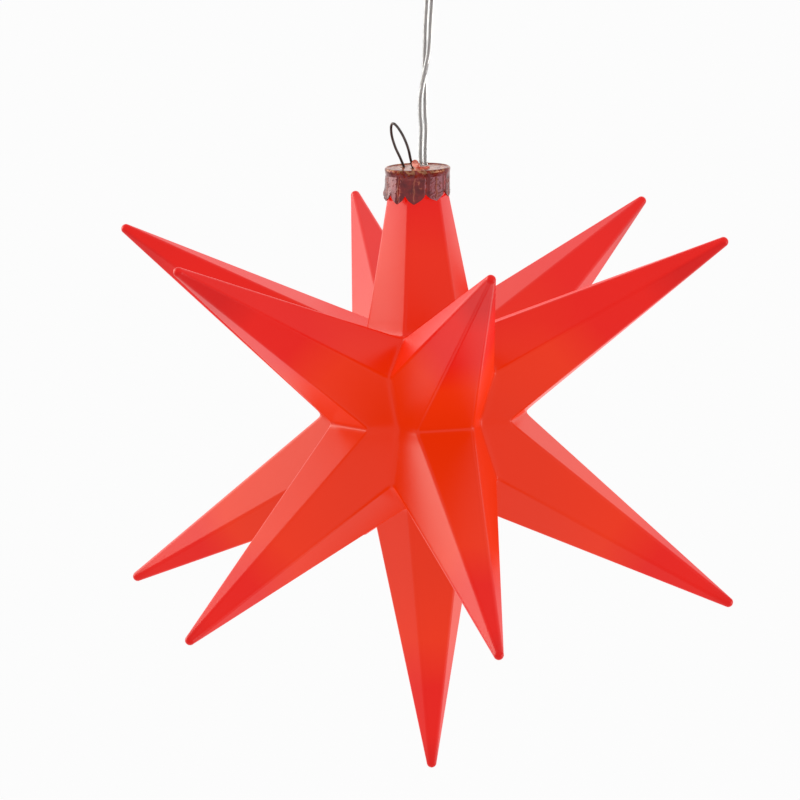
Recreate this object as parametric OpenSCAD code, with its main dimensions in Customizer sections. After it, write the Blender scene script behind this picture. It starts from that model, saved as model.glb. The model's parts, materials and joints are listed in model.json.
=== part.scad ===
// Advent star light: a hollow fourteen-pointed plastic star that hangs on a
// clear twisted lead from a small ceiling rose, with a crown cap on its neck
// and a slim LED tube inside.
// Millimetres. The origin is the middle of the ceiling face, +Z is up.

/* [Star] */
// Distance from the star's centre to a point's sharp apex, before rounding
point_reach = 132; // [115:1:150]
// Corner radius of a point's hexagon where it would cross the centre
point_root_r = 24.7; // [21:0.1:28]
// Angle of the two rings of points above and below level
ring_tilt = 30; // [27:1:33]
// Radius that rounds the tip of a point
tip_r = 1.7; // [1.2:0.1:2.2]
// Radius that rounds the six ridges of a point
ridge_r = 1.6; // [1:0.1:2.4]
// Wall of the moulded points
wall = 1.2; // [1:0.1:1.6]

/* [Neck and cap] */
// Height above the star's centre where the hexagonal neck stops
shoulder_z = 75; // [74:0.5:76]
// Bore of the round neck spigot
neck_bore_r = 7.5; // [7.4:0.05:7.7]
// Wall of the neck spigot
neck_wall = 1.4; // [1:0.1:1.6]
// Height of the cap's top plate above the star's centre
cap_top_z = 84.5; // [84:0.1:86]
// Outer radius of the skirt at the tips of its lobes
cap_hem_r = 11.7; // [11.6:0.1:12.2]
// Height of the cap, from the tips of its lobes to the top
cap_h = 11.2; // [10.5:0.1:11.5]
// Sheet thickness of the cap
cap_sheet = 0.4; // [0.35:0.05:0.5]
// Number of pointed lobes around the skirt
lobe_count = 10; // [8:1:12]

/* [Wire loop] */
// Diameter of the loop's wire
loop_wire_d = 0.9; // [0.7:0.1:1]
// Height of the loop above the cap, along its own length
loop_h = 17.5; // [16:0.1:18]
// Lean of the loop at rest
loop_lean = 22.5; // [15:0.5:25]

/* [Lamp] */
// Outer radius of the LED tube
tube_r = 6; // [5.8:0.1:6.2]
// Lowest point of the LED tube below the star's centre
tube_drop = 19; // [15:1:24]
// Number of LEDs on each side of the board
leds_per_side = 3; // [2:1:4]

/* [Ceiling rose] */
// Outer radius of the cover
cover_r = 32; // [31:0.5:36]
// Depth of the cover below the ceiling
cover_h = 23; // [23:0.5:26]
// Distance between the two ceiling screw holes
screw_spacing = 40; // [36:1:44]
// Radius of a ceiling screw hole
screw_hole_r = 2.25; // [2:0.05:2.6]

/* [Lead] */
// Diameter across the twisted pair
lead_d = 3.3; // [3:0.1:3.4]
// Distance from the ceiling down to the star's centre
hang = 182; // [180:1:186]

/* [Hidden] */
$fn = 64;
eps = 0.01;

// The star hangs a little to one side of the ceiling rose, because the lead
// enters its cap off centre.
star_x = -3.6;
star_y = -4;
star_at = [star_x, star_y, -hang];

// A point is a hexagonal pyramid. Its slope fixes the inner pyramid too.
slope = point_root_r / point_reach;
ridge_angle = atan(slope);
flat_angle = atan(slope * cos(30));
tip_z = point_reach - tip_r / sin(ridge_angle);
inner_reach = point_reach - wall / sin(flat_angle);
inner_end = tip_z - 11;
inner_round = 0.06;
cell_r = 140;
meet_angle = (90 + ring_tilt) / 2;

// Neck spigot and cap
spigot_top = cap_top_z - 2.3;
spigot_r = neck_bore_r + neck_wall;
shoulder_t = 1.5;
notch_z = 3;
lobe_steps = 6;
lobe_turn = 12;
pleat = 0.35;

// The lead and the two legs of the wire loop pass the cap's top plate here,
// measured from the star's axis.
lead_r = lead_d / 2;
lead_x = 1.3;
lead_y = 1.4;
loop_x = -3.1;
loop_y = -1.25;
leg_gap = 2.25;
loop_belly = 3.6;
loop_axis_z = cap_top_z - cap_sheet / 2;
slot_half = 1.15;

// Lamp plug, a cup in the neck with a flange over the spigot
plug_r = neck_bore_r - 0.3;
flange_r = 9;
flange_t = 1.6;
plug_low_z = 68;
floor_z = 76;
floor_t = 2;
cup_r = 6.2;
tube_wall = 0.9;
tube_floor_t = 2;
stop_r = 2.3;
stop_h = 5;
grommet_r = 2.1;
grommet_flange_r = 2.5;
grommet_top = 1.1;

// LED board
board_w = 8;
board_t = 1;
board_low = -tube_drop + tube_floor_t;
board_h = 47;
led_pitch = 10;
led_size = [2.8, 0.8, 3.5];
lens_r = 1.1;
wire_r = 0.5;

// Ceiling rose
plate_r = cover_r - 2.2;
plate_t = 1.6;
cover_wall = 1.6;
cover_round = 5;
cover_gap = 0.8;
bush_r = 3.9;
bush_bore_r = 2.6;
bush_flange_r = 6;
bush_flange_t = 1.5;
rose_low = cover_h + bush_flange_t;
entry_r = 5;
entry_y = -16;
saddle = [16, 5, 3.65];
saddle_y = 6.6;
clamp_gap = 0.05;
bridge_t = 1.75;
bridge_screw_x = 6;
small_screw_r = 1.2;
clamp_z = -7;
block = [12, 9, 8];
block_y = 13;
pole_x = 3;

// Free stretch of the lead, from the rose down to the cap, as it hangs
lead_route = [
    [0, 0, -24.5], [0, 0, -29], [0, 0, -34], [0, 0, -39],
    [-0.2, -0.3, -44], [-0.5, -0.6, -49], [-0.7, -0.8, -54], [-1, -1.1, -59],
    [-1.4, -1.6, -64], [-1.8, -2, -69], [-2.1, -2.3, -74], [-2.2, -2.4, -79],
    [-2, -2.3, -84], [-2.2, -2.4, -88.5], [-2.3, -2.6, -92.5], [-2.3, -2.6, -96.4]
];
// Held stretch inside the rose, from its bush to the terminal block
top_route = [
    [0, 0, -24.5], [0, 0, -20], [0, 0, -15], [0, 0.95, -11],
    [0, 3.5, -8.1], [0, 6.2, -7.1], [0, 8, -7], [0, 10, -7], [0, 13, -7]
];
// One half of the wire loop, from its hook under the plate to its top
loop_half = [
    [leg_gap - 1.3, -1.3], [leg_gap - 0.5, -1.25], [leg_gap, -0.7], [leg_gap, 0],
    [2.75, 3.6], [loop_belly, 7.6], [3.2, 11.8], [2, 14.9], [0, loop_h - 0.45]
];
// The two lamp wires, from the lead's end to the board
wire_routes = [
    [[2.1, 1.4, 71], [2.3, 1.5, 62], [2.6, 1.3, 48], [2.6, 1, 36], [2.6, 1, 27]],
    [[0.5, 1.4, 71], [0, 1.6, 62], [-1.6, 1.4, 48], [-2.6, 1, 36], [-2.6, 1, 27]]
];

function last(list) = list[len(list) - 1];
function unit(v) = v / norm(v);

// Smooth curve through the points of a route
function curve_point(a, b, c, d, t) =
    0.5 * (2 * b + (c - a) * t + (2 * a - 5 * b + 4 * c - d) * t * t
    + (3 * b - a - 3 * c + d) * t * t * t);
function smooth(route, steps) = [
    for (i = [0 : len(route) - 2]) for (s = [0 : steps - 1])
        curve_point(route[max(i - 1, 0)], route[i], route[i + 1],
            route[min(i + 2, len(route) - 1)], s / steps),
    last(route)
];

// Direction of a path at one of its points
function tangent(path, i) = unit(path[min(i + 1, len(path) - 1)] - path[max(i - 1, 0)]);
function ring(p, t, side, r, n) =
    let (u = unit(cross(side, t)), v = cross(t, u))
    [for (k = [0 : n - 1]) p + r * (cos(360 * k / n) * u + sin(360 * k / n) * v)];

// Tube swept along a path, closed at both ends. Its end faces are square to
// the two directions given.
module tube_along(path, r, n, side, first_dir, last_dir) {
    count = len(path);
    points = [for (i = [0 : count - 1]) each ring(path[i],
        i == 0 ? first_dir : i == count - 1 ? last_dir : tangent(path, i), side, r, n)];
    faces = concat(
        [[for (k = [0 : n - 1]) k]],
        [for (i = [0 : count - 2]) for (k = [0 : n - 1]) each [
            [i * n + k, (i + 1) * n + k, i * n + (k + 1) % n],
            [i * n + (k + 1) % n, (i + 1) * n + k, (i + 1) * n + (k + 1) % n]]],
        [[for (k = [n - 1 : -1 : 0]) (count - 1) * n + k]]
    );
    polyhedron(points, faces);
}

// Hexagon with a ridge on +X and its corners rounded by a many-sided post. A
// flat of the post, not a corner, faces along each ridge.
module hexagon_posts(corner_r, post_r, sides) {
    for (k = [0 : 5])
        rotate(60 * k) translate([corner_r - post_r / cos(30), 0, 0])
            rotate(180 / sides) cylinder(r = post_r, h = eps, $fn = sides);
}

// Rounded hexagonal pyramid on +Z
module point_outside() {
    hull() {
        hexagon_posts(point_root_r, ridge_r, 24);
        translate([0, 0, tip_z]) sphere(r = tip_r, $fn = 16);
    }
}

module point_inside() {
    root = inner_reach * slope;
    top = (inner_reach - inner_end) * slope;
    translate([0, 0, -eps]) hull() {
        hexagon_posts(root, root * inner_round, 12);
        translate([0, 0, inner_end]) hexagon_posts(top, top * inner_round, 12);
    }
}

module point_shell() {
    difference() {
        point_outside();
        point_inside();
    }
}

// Space of one ring point: between level, its two neighbours and the neck
module ring_cell() {
    intersection() {
        linear_extrude(cell_r)
            polygon([[0, 0], [cell_r, -cell_r * tan(30)], [cell_r, cell_r * tan(30)]]);
        rotate([90, 0, 0]) linear_extrude(2 * cell_r, center = true)
            polygon([[0, 0], [cell_r, 0], [cell_r, cell_r * tan(meet_angle)]]);
    }
}

// Space of the neck point or the bottom point
module pole_cell() {
    cylinder(r1 = 0, r2 = cell_r / tan(meet_angle) / cos(30), h = cell_r, $fn = 6);
}

module ring_point(k) {
    rotate(60 * k - 90) intersection() {
        rotate([0, 90 - ring_tilt, 0]) rotate(30) point_shell();
        ring_cell();
    }
}

module upper_point(k) {
    color("#d8281c") translate(star_at) ring_point(k);
}

module lower_point(k) {
    color("#d8281c") translate(star_at) mirror([0, 0, 1]) ring_point(k);
}

module bottom_point() {
    color("#d8281c") translate(star_at) mirror([0, 0, 1]) intersection() {
        point_shell();
        pole_cell();
    }
}

// The top point stops at a shoulder and carries the round spigot for the cap
module neck_point() {
    color("#d8281c") translate(star_at) difference() {
        union() {
            intersection() {
                point_shell();
                pole_cell();
                cylinder(r = 2 * cell_r, h = shoulder_z);
            }
            intersection() {
                point_outside();
                translate([0, 0, shoulder_z - shoulder_t]) cylinder(r = cell_r, h = shoulder_t);
            }
            translate([0, 0, shoulder_z - shoulder_t])
                cylinder(r = spigot_r, h = spigot_top - shoulder_z + shoulder_t);
        }
        translate([0, 0, shoulder_z - 2 * shoulder_t]) cylinder(r = neck_bore_r, h = cap_h);
    }
}

// Half section of the cap's sheet: radius, height under the top, and how much
// of the pleats' depth and of the lobes' outline reach it
cap_flat_r = cap_hem_r - 1.5;
cap_waist_r = cap_hem_r - 0.85;
cap_section = [
    [cap_flat_r - 1.2, 0, 0, 0], [cap_flat_r, 0, 0, 0], [cap_flat_r + 0.4, -0.35, 0, 0],
    [cap_flat_r + 0.8, 0, 0, 0], [cap_waist_r, 0.8, 0, 0], [cap_waist_r + 0.1, 4.5, 0.3, 0],
    [cap_waist_r + 0.4, 8, 0.8, 0], [cap_hem_r, cap_h, 1, 1],
    [cap_hem_r - cap_sheet, cap_h, 1, 1], [cap_waist_r + 0.4 - cap_sheet, 8, 0.8, 0],
    [cap_waist_r + 0.1 - cap_sheet, 4.5, 0.3, 0], [cap_waist_r - cap_sheet, 0.8, 0, 0],
    [cap_flat_r, cap_sheet, 0, 0], [cap_flat_r - 1.2, cap_sheet, 0, 0]
];

// Distance along a lobe, from 0 at its tip to 1 at the crease beside it
function lobe_side(k) = abs(2 * (k % lobe_steps) / lobe_steps - 1);
function hem_lift(t) = notch_z * (0.5 * t + 0.5 * pow(t, 4));

// Pleated skirt with pointed lobes, under a rolled edge
module cap_crown() {
    turns = lobe_count * lobe_steps;
    m = len(cap_section);
    points = [for (k = [0 : turns - 1]) for (p = cap_section)
        let (t = lobe_side(k), r = p[0] - p[2] * pleat * t * t,
            z = cap_top_z - p[1] + p[3] * hem_lift(t), a = 360 * k / turns + lobe_turn)
        [r * cos(a), r * sin(a), z]];
    faces = concat(
        [for (k = [0 : turns - 1]) for (i = [0 : m - 2])
            let (a = k * m + i, b = k * m + i + 1,
                c = (k + 1) % turns * m + i, d = (k + 1) % turns * m + i + 1)
            each [[a, b, d], [a, d, c]]],
        [[for (k = [0 : turns - 1]) k * m]],
        [[for (k = [turns - 1 : -1 : 0]) k * m + m - 1]]
    );
    polyhedron(points, faces);
}

module cap() {
    color("#b5694f") translate(star_at) difference() {
        cap_crown();
        translate([lead_x, lead_y, cap_top_z - 2]) cylinder(r = grommet_r + 0.05, h = 4);
        for (s = [-1, 1]) translate([loop_x + s * leg_gap, loop_y, cap_top_z])
            cube([loop_wire_d + 0.3, 2 * slot_half, 2], center = true);
    }
}

// Spring wire loop. It leans about the line through its two legs.
module cap_loop() {
    side = [0, 1, 0];
    half = [for (p = loop_half) [p.x, 0, p.y]];
    turn_back = [for (i = [len(loop_half) - 2 : -1 : 0]) [-loop_half[i].x, 0, loop_half[i].y]];
    path = smooth(concat(half, turn_back), 3);
    color("#6d4a40") translate(star_at) translate([loop_x, loop_y, loop_axis_z])
        rotate([loop_lean, 0, 0])
            tube_along(path, loop_wire_d / 2, 8, side, [1, 0, 0], [1, 0, 0]);
}

module cord_grommet() {
    under = 1.2;
    color("#e8b9a8") translate(star_at) translate([lead_x, lead_y, 0]) rotate_extrude()
        polygon([
            [lead_r + 0.05, cap_top_z - under], [grommet_r + 0.3, cap_top_z - under],
            [grommet_r, cap_top_z - cap_sheet], [grommet_r, cap_top_z],
            [grommet_flange_r, cap_top_z], [grommet_flange_r - 0.3, cap_top_z + 0.8],
            [lead_r + 0.4, cap_top_z + grommet_top], [lead_r + 0.05, cap_top_z + grommet_top]
        ]);
}

module lamp_plug() {
    top = cap_top_z - cap_sheet;
    color("#f1efe8") translate(star_at) difference() {
        rotate_extrude() polygon([
            [0, floor_z], [tube_r + 0.05, floor_z], [tube_r + 0.05, plug_low_z],
            [plug_r, plug_low_z], [plug_r, top - flange_t], [flange_r, top - flange_t],
            [flange_r, top], [cup_r, top], [cup_r, floor_z + floor_t], [0, floor_z + floor_t]
        ]);
        translate([lead_x, lead_y, floor_z - 1]) cylinder(r = lead_r + 0.1, h = floor_t + 2);
    }
}

// Crimped sleeve that stops the lead from pulling up through the plug
module cord_stop() {
    color("#b9bcc0") translate(star_at) translate([lead_x, lead_y, floor_z - stop_h])
        difference() {
            cylinder(r = stop_r, h = stop_h);
            translate([0, 0, -1]) cylinder(r = lead_r, h = stop_h + 2);
        }
}

module lamp_cord() {
    low = floor_z - stop_h;
    color("#e9e6df") translate(star_at) translate([lead_x, lead_y, low])
        cylinder(r = lead_r, h = cap_top_z + grommet_top - low);
}

module lamp_wires() {
    color("#e9e6df") translate(star_at) for (route = wire_routes)
        tube_along(smooth(route, 3), wire_r, 8, [1, 0, 0], [0, 0, -1], [0, 0, -1]);
}

module lamp_tube() {
    inner = tube_r - tube_wall;
    end_round = 4;
    color("#f4f2ec", 0.6) translate(star_at) rotate_extrude() difference() {
        union() {
            translate([0, end_round - tube_drop]) square([tube_r, floor_z + tube_drop - end_round]);
            translate([0, -tube_drop]) square([tube_r - end_round, end_round]);
            translate([tube_r - end_round, end_round - tube_drop]) intersection() {
                circle(r = end_round);
                translate([0, -end_round]) square(end_round);
            }
        }
        translate([0, tube_floor_t - tube_drop + 1.5]) square([inner, floor_z + tube_drop]);
        translate([0, tube_floor_t - tube_drop]) square([board_w / 2 + 0.1, 2]);
    }
}

module led_board() {
    color("#f5f5f0") translate(star_at)
        translate([-board_w / 2, -board_t / 2, board_low]) cube([board_w, board_t, board_h]);
}

module leds() {
    color("#ffe2a0") translate(star_at) for (k = [0 : leds_per_side - 1]) for (s = [-1, 1])
        translate([0, s * board_t / 2, led_pitch * (k + 1) - 22]) rotate(s < 0 ? 180 : 0) {
            translate([-led_size.x / 2, 0, -led_size.z / 2]) cube(led_size);
            rotate([-90, 0, 0]) cylinder(r = lens_r, h = led_size.y + 0.5, $fn = 32);
        }
}

module led_resistor() {
    color("#2b2b2e") translate(star_at) translate([-0.8, board_t / 2, 16])
        cube([1.6, 0.6, 3.2]);
}

module cord() {
    color("#e9e6df", 0.7)
        tube_along(lead_route, lead_r, 8, [1, 0, 0], [0, 0, -1], [0, 0, -1]);
}

module cord_top() {
    color("#e9e6df", 0.7)
        tube_along(smooth(top_route, 2), lead_r, 8, [1, 0, 0], [0, 0, 1], [0, 1, 0]);
}

module ceiling_plate() {
    tab = [1.2, 8, 8];
    tab_r = cover_r - cover_wall - 0.3;
    color("#f3f3f1") difference() {
        union() {
            translate([0, 0, -plate_t]) cylinder(r = plate_r, h = plate_t);
            translate([-saddle.x / 2, saddle_y, -plate_t - saddle.z])
                cube([saddle.x, saddle.y, saddle.z + eps]);
            intersection() {
                for (k = [0 : 2]) rotate(120 * k + 30)
                    translate([tab_r - tab.x - 0.4, -tab.y / 2, -plate_t - tab.z])
                        cube([tab.x + 1, tab.y, tab.z + eps]);
                translate([0, 0, -cover_h]) cylinder(r = tab_r, h = cover_h);
            }
        }
        for (s = [-1, 1]) translate([s * screw_spacing / 2, 0, -plate_t - 1])
            cylinder(r = screw_hole_r, h = plate_t + 2);
        translate([0, entry_y, -plate_t - 1]) cylinder(r = entry_r, h = plate_t + 2);
        for (s = [-1, 1])
            translate([s * bridge_screw_x, saddle_y + saddle.y / 2, -plate_t - saddle.z - 1])
                cylinder(r = small_screw_r + 0.02, h = saddle.z + 1);
        translate([0, block_y + block.y / 2, -plate_t - 1])
            cylinder(r = small_screw_r + 0.02, h = 2);
    }
}

module cord_bridge() {
    low = clamp_z - lead_r - clamp_gap - bridge_t;
    color("#f3f3f1") difference() {
        translate([-saddle.x / 2, saddle_y + 0.5, low]) cube([saddle.x, saddle.y - 1, bridge_t]);
        for (s = [-1, 1]) translate([s * bridge_screw_x, saddle_y + saddle.y / 2, low - 1])
            cylinder(r = small_screw_r + 0.1, h = bridge_t + 2);
    }
}

module terminal_block() {
    pole_r = 1.35;
    low = -plate_t - block.z;
    color("#e7e4dc") difference() {
        translate([-block.x / 2, block_y, low]) cube(block);
        for (s = [-1, 1]) {
            translate([s * pole_x, block_y + block.y - 3, low + 3.6]) rotate([-90, 0, 0])
                cylinder(r = pole_r, h = 4);
            for (y = [2.5, 6.5]) translate([s * pole_x, block_y + y, low - 1])
                cylinder(r = pole_r, h = 3.2);
        }
        translate([0, block_y + block.y / 2, low - 1]) cylinder(r = small_screw_r + 0.1, h = block.z + 2);
    }
}

module screw_head_slot(r) {
    cube([2.2 * r, 0.4, 0.8], center = true);
}

module terminal_screws() {
    low = -plate_t - block.z;
    color("#c9b26a") for (s = [-1, 1]) for (y = [2.5, 6.5])
        translate([s * pole_x, block_y + y, low - 0.2]) difference() {
            cylinder(r = 1.3, h = 2.4);
            screw_head_slot(1.3);
        }
}

module pan_screw(shank) {
    difference() {
        union() {
            translate([0, 0, -1.1]) cylinder(r = 2.1, h = 1.1);
            cylinder(r = small_screw_r, h = shank);
        }
        translate([0, 0, -1.1]) screw_head_slot(2.1);
    }
}

module fitting_screws() {
    bridge_low = clamp_z - lead_r - clamp_gap - bridge_t;
    block_low = -plate_t - block.z;
    color("#bfc3c7") {
        for (s = [-1, 1]) translate([s * bridge_screw_x, saddle_y + saddle.y / 2, bridge_low])
            pan_screw(7);
        translate([0, block_y + block.y / 2, block_low]) pan_screw(block.z + 0.8);
    }
}

// Half section of a shallow round cup with a rounded lower edge
module cup_section(out, low, round_r, high) {
    translate([0, low + round_r]) square([out, high - low - round_r]);
    translate([0, low]) square([out - round_r, round_r + eps]);
    translate([out - round_r, low + round_r]) intersection() {
        circle(r = round_r);
        translate([0, -round_r]) square(round_r);
    }
}

module cover() {
    color("#f6f6f4") difference() {
        rotate_extrude() cup_section(cover_r, -cover_h, cover_round, -cover_gap);
        rotate_extrude() cup_section(cover_r - cover_wall, cover_wall - cover_h,
            cover_round - cover_wall, 0);
        translate([0, 0, -cover_h - 1]) cylinder(r = bush_r + 0.05, h = 4);
    }
}

module cover_bush() {
    color("#eeeeea") difference() {
        union() {
            translate([0, 0, -rose_low]) cylinder(r = bush_flange_r, h = bush_flange_t);
            translate([0, 0, -cover_h]) cylinder(r = bush_r, h = 5);
        }
        translate([0, 0, -rose_low - 1]) cylinder(r = bush_bore_r, h = 12);
    }
}

module bush_nut() {
    color("#eeeeea") translate([0, 0, cover_wall - cover_h]) difference() {
        cylinder(r = 7, h = 2.2, $fn = 6);
        translate([0, 0, -1]) cylinder(r = bush_r + 0.05, h = 5);
    }
}

neck_point();
upper_point(0);  // upper_point_1
upper_point(1);  // upper_point_2
upper_point(2);  // upper_point_3
upper_point(3);  // upper_point_4
upper_point(4);  // upper_point_5
upper_point(5);  // upper_point_6
lower_point(0);  // lower_point_1
lower_point(1);  // lower_point_2
lower_point(2);  // lower_point_3
lower_point(3);  // lower_point_4
lower_point(4);  // lower_point_5
lower_point(5);  // lower_point_6
bottom_point();
cap();
cap_loop();
cord_grommet();
lamp_plug();
cord_stop();
lamp_cord();
lamp_wires();
lamp_tube();
led_board();
leds();
led_resistor();
cord();
cord_top();
ceiling_plate();
cord_bridge();
terminal_block();
terminal_screws();
fitting_screws();
cover();
cover_bush();
bush_nut();
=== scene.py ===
"""Advent star light: the finished look, built around its solid model."""
import json
import math

import bmesh
import bpy
import numpy as np
from bpy.props import FloatProperty, FloatVectorProperty, IntProperty, PointerProperty
from mathutils import Matrix, Vector, noise

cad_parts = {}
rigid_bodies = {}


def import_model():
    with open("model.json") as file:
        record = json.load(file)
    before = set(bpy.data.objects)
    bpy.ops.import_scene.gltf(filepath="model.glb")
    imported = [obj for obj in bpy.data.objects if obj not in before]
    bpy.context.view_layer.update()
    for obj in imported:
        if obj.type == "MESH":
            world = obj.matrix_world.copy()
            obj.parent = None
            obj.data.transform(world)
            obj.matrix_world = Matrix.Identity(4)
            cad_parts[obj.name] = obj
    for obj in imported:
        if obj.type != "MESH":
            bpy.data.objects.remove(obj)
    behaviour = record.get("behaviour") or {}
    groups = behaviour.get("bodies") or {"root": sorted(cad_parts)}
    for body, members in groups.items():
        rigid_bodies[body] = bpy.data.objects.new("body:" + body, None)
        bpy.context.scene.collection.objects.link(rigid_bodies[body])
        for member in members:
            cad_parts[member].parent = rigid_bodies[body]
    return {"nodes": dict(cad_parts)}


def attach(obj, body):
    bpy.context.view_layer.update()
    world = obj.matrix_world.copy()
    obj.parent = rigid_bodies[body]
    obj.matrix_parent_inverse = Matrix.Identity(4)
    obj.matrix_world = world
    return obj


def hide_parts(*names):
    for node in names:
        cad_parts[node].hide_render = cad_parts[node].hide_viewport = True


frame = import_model()

bl_info = {
    "name": "Advent star light",
    "version": (1, 0, 0),
    "blender": (4, 5, 0),
    "location": "3D View > Sidebar > Star light",
    "description": "Builds a hanging advent star, its cap, lead, lamp and ceiling rose",
    "category": "Add Mesh",
}

MM = 0.001
STAR_CENTRE = Vector((-0.0036, -0.004, -0.182))
CAP_TOP = 84.5


# Values that a user would change

class StarSettings(bpy.types.PropertyGroup):
    """Sizes in millimetres and painted glow colours of the moulded star"""

    reach: FloatProperty(
        name="Point reach", description="Centre to the sharp apex of a point, in mm",
        default=132.0, min=100.0, max=160.0,
    )
    root_radius: FloatProperty(
        name="Root radius", description="Corner radius of a point at the centre, in mm",
        default=24.7, min=18.0, max=30.0,
    )
    ring_tilt: FloatProperty(
        name="Ring tilt", description="Angle of the two rings of points from level",
        default=math.radians(30), subtype="ANGLE",
    )
    tip_radius: FloatProperty(
        name="Tip radius", description="Rounding of the tips, in mm",
        default=1.7, min=0.5, max=3.0,
    )
    ridge_radius: FloatProperty(
        name="Ridge radius", description="Rounding of the six ridges, in mm",
        default=1.6, min=0.3, max=3.0,
    )
    wall: FloatProperty(
        name="Wall", description="Thickness of the moulded wall, in mm",
        default=1.2, min=0.8, max=2.0,
    )
    valley_sharpness: FloatProperty(
        name="Valley sharpness", description="How tightly two points meet, per mm",
        default=1.5, min=0.5, max=6.0,
    )
    # Painted glow: these three colours are emission that stands in for the lamp's light shining
    # through the wall.
    centre_colour: FloatVectorProperty(
        name="Centre colour", description="Glow of the lit plastic round the lamp",
        subtype="COLOR", size=3, min=0.0, max=1.0, default=(0.73, 0.024, 0.0),
    )
    middle_colour: FloatVectorProperty(
        name="Middle colour", description="Glow half way along a point",
        subtype="COLOR", size=3, min=0.0, max=1.0, default=(0.68, 0.003, 0.0),
    )
    tip_colour: FloatVectorProperty(
        name="Tip colour", description="Glow of the plastic at the tips",
        subtype="COLOR", size=3, min=0.0, max=1.0, default=(0.54, 0.0, 0.0),
    )


class CapSettings(bpy.types.PropertyGroup):
    """Sizes in millimetres and colour of the crown cap and its wire loop"""

    hem_radius: FloatProperty(
        name="Hem radius", description="Radius at the tips of the lobes, in mm",
        default=11.7, min=10.0, max=13.0,
    )
    height: FloatProperty(
        name="Height", description="Top of the cap to the tips of its lobes, in mm",
        default=11.2, min=9.0, max=13.0,
    )
    sheet: FloatProperty(
        name="Sheet", description="Thickness of the pressed metal, in mm",
        default=0.4, min=0.2, max=0.6,
    )
    lobes: IntProperty(
        name="Lobes", description="Number of pointed lobes on the skirt",
        default=10, min=6, max=14,
    )
    wire: FloatProperty(
        name="Wire", description="Diameter of the loop's wire, in mm",
        default=0.9, min=0.6, max=1.2,
    )
    lean: FloatProperty(
        name="Loop lean", description="How far the loop leans from upright",
        default=math.radians(22.5), subtype="ANGLE",
    )
    metal: FloatVectorProperty(
        name="Metal", description="Colour of the dark rose copper",
        subtype="COLOR", size=3, min=0.0, max=1.0, default=(0.057, 0.030, 0.035),
    )
    # Base colour of the rim and top plate; their brown-gold look on the cap comes mostly from the
    # painted glow in cap_copper.
    rim_brown: FloatVectorProperty(
        name="Rim brown", description="Colour of the worn rim and top plate",
        subtype="COLOR", size=3, min=0.0, max=1.0, default=(0.10, 0.05, 0.03),
    )
    # Painted shade with a painted red reflection of the star, as the base colour in the creases.
    crease_shade_red: FloatVectorProperty(
        name="Crease red", description="Colour in the creases",
        subtype="COLOR", size=3, min=0.0, max=1.0, default=(0.04, 0.004, 0.003),
    )


class LeadSettings(bpy.types.PropertyGroup):
    """Sizes of the clear twisted lead, in millimetres"""

    strand: FloatProperty(
        name="Strand", description="Diameter of one insulated strand, in mm",
        default=1.62, min=1.0, max=2.2,
    )
    pitch: FloatProperty(
        name="Pitch", description="Length of one full twist of the pair, in mm",
        default=26.0, min=10.0, max=60.0,
    )


class StageSettings(bpy.types.PropertyGroup):
    """Camera"""

    camera_distance: FloatProperty(
        name="Camera distance", description="Camera to the star's centre",
        default=1.75, unit="LENGTH",
    )
    camera_height: FloatProperty(
        name="Camera height", description="Angle of the camera above level",
        default=math.radians(10.19), subtype="ANGLE",
    )
    camera_round: FloatProperty(
        name="Camera round", description="Angle of the camera round the star",
        default=math.radians(47.77), subtype="ANGLE",
    )
    camera_roll: FloatProperty(
        name="Camera roll", description="Turn of the camera about its own line",
        default=math.radians(-1.40), subtype="ANGLE",
    )
    lens: FloatProperty(
        name="Lens", description="Focal length in mm on a 36 mm frame",
        default=230.6, min=50.0, max=400.0,
    )


# Shared ways of making meshes. Meshes are made in millimetres and scaled at
# the end, because bisecting and filling work best at that scale.

def smooth_route(route, steps):
    """Even curve through the points of a route"""
    pts = [Vector(p) for p in route]
    out = []
    for i in range(len(pts) - 1):
        a, b, c, d = pts[max(i - 1, 0)], pts[i], pts[i + 1], pts[min(i + 2, len(pts) - 1)]
        for s in range(steps):
            t = s / steps
            out.append(0.5 * (
                2 * b + (c - a) * t + (2 * a - 5 * b + 4 * c - d) * t * t
                + (3 * b - a - 3 * c + d) * t ** 3
            ))
    out.append(pts[-1])
    return out


def path_frame(path, i, side, first=None, last=None):
    """Matrix that stands a ring on the path at point i"""
    tangent = (path[min(i + 1, len(path) - 1)] - path[max(i - 1, 0)]).normalized()
    if i == 0 and first:
        tangent = Vector(first)
    if i == len(path) - 1 and last:
        tangent = Vector(last)
    u = side.cross(tangent).normalized()
    v = tangent.cross(u)
    turn = Matrix((u, v, tangent)).transposed().to_4x4()
    return Matrix.Translation(path[i]) @ turn


def sweep(bm, path, radius, sides, side=(1, 0, 0), first=None, last=None, taper=None):
    """Closed tube along a path"""
    side = Vector(side)
    place = path_frame(path, 0, side, first, last)
    ring = bmesh.ops.create_circle(bm, cap_ends=False, radius=1.0, segments=sides)["verts"]
    bmesh.ops.transform(bm, matrix=place @ Matrix.Scale(radius, 4), verts=ring)
    edges = list({e for v in ring for e in v.link_edges})
    ends = [list(edges)]
    scale = radius
    for i in range(1, len(path)):
        wide = radius * (taper(i / (len(path) - 1)) if taper else 1.0)
        nxt = path_frame(path, i, side, first, last)
        made = bmesh.ops.extrude_edge_only(bm, edges=edges)["geom"]
        verts = [g for g in made if isinstance(g, bmesh.types.BMVert)]
        edges = [
            g for g in made if isinstance(g, bmesh.types.BMEdge)
            and g.verts[0] in verts and g.verts[1] in verts
        ]
        move = nxt @ Matrix.Scale(wide / scale, 4) @ place.inverted()
        bmesh.ops.transform(bm, matrix=move, verts=verts)
        place, scale = nxt, wide
    ends.append(edges)
    for end in ends:
        bmesh.ops.contextual_create(bm, geom=end)
    return bm


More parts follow.
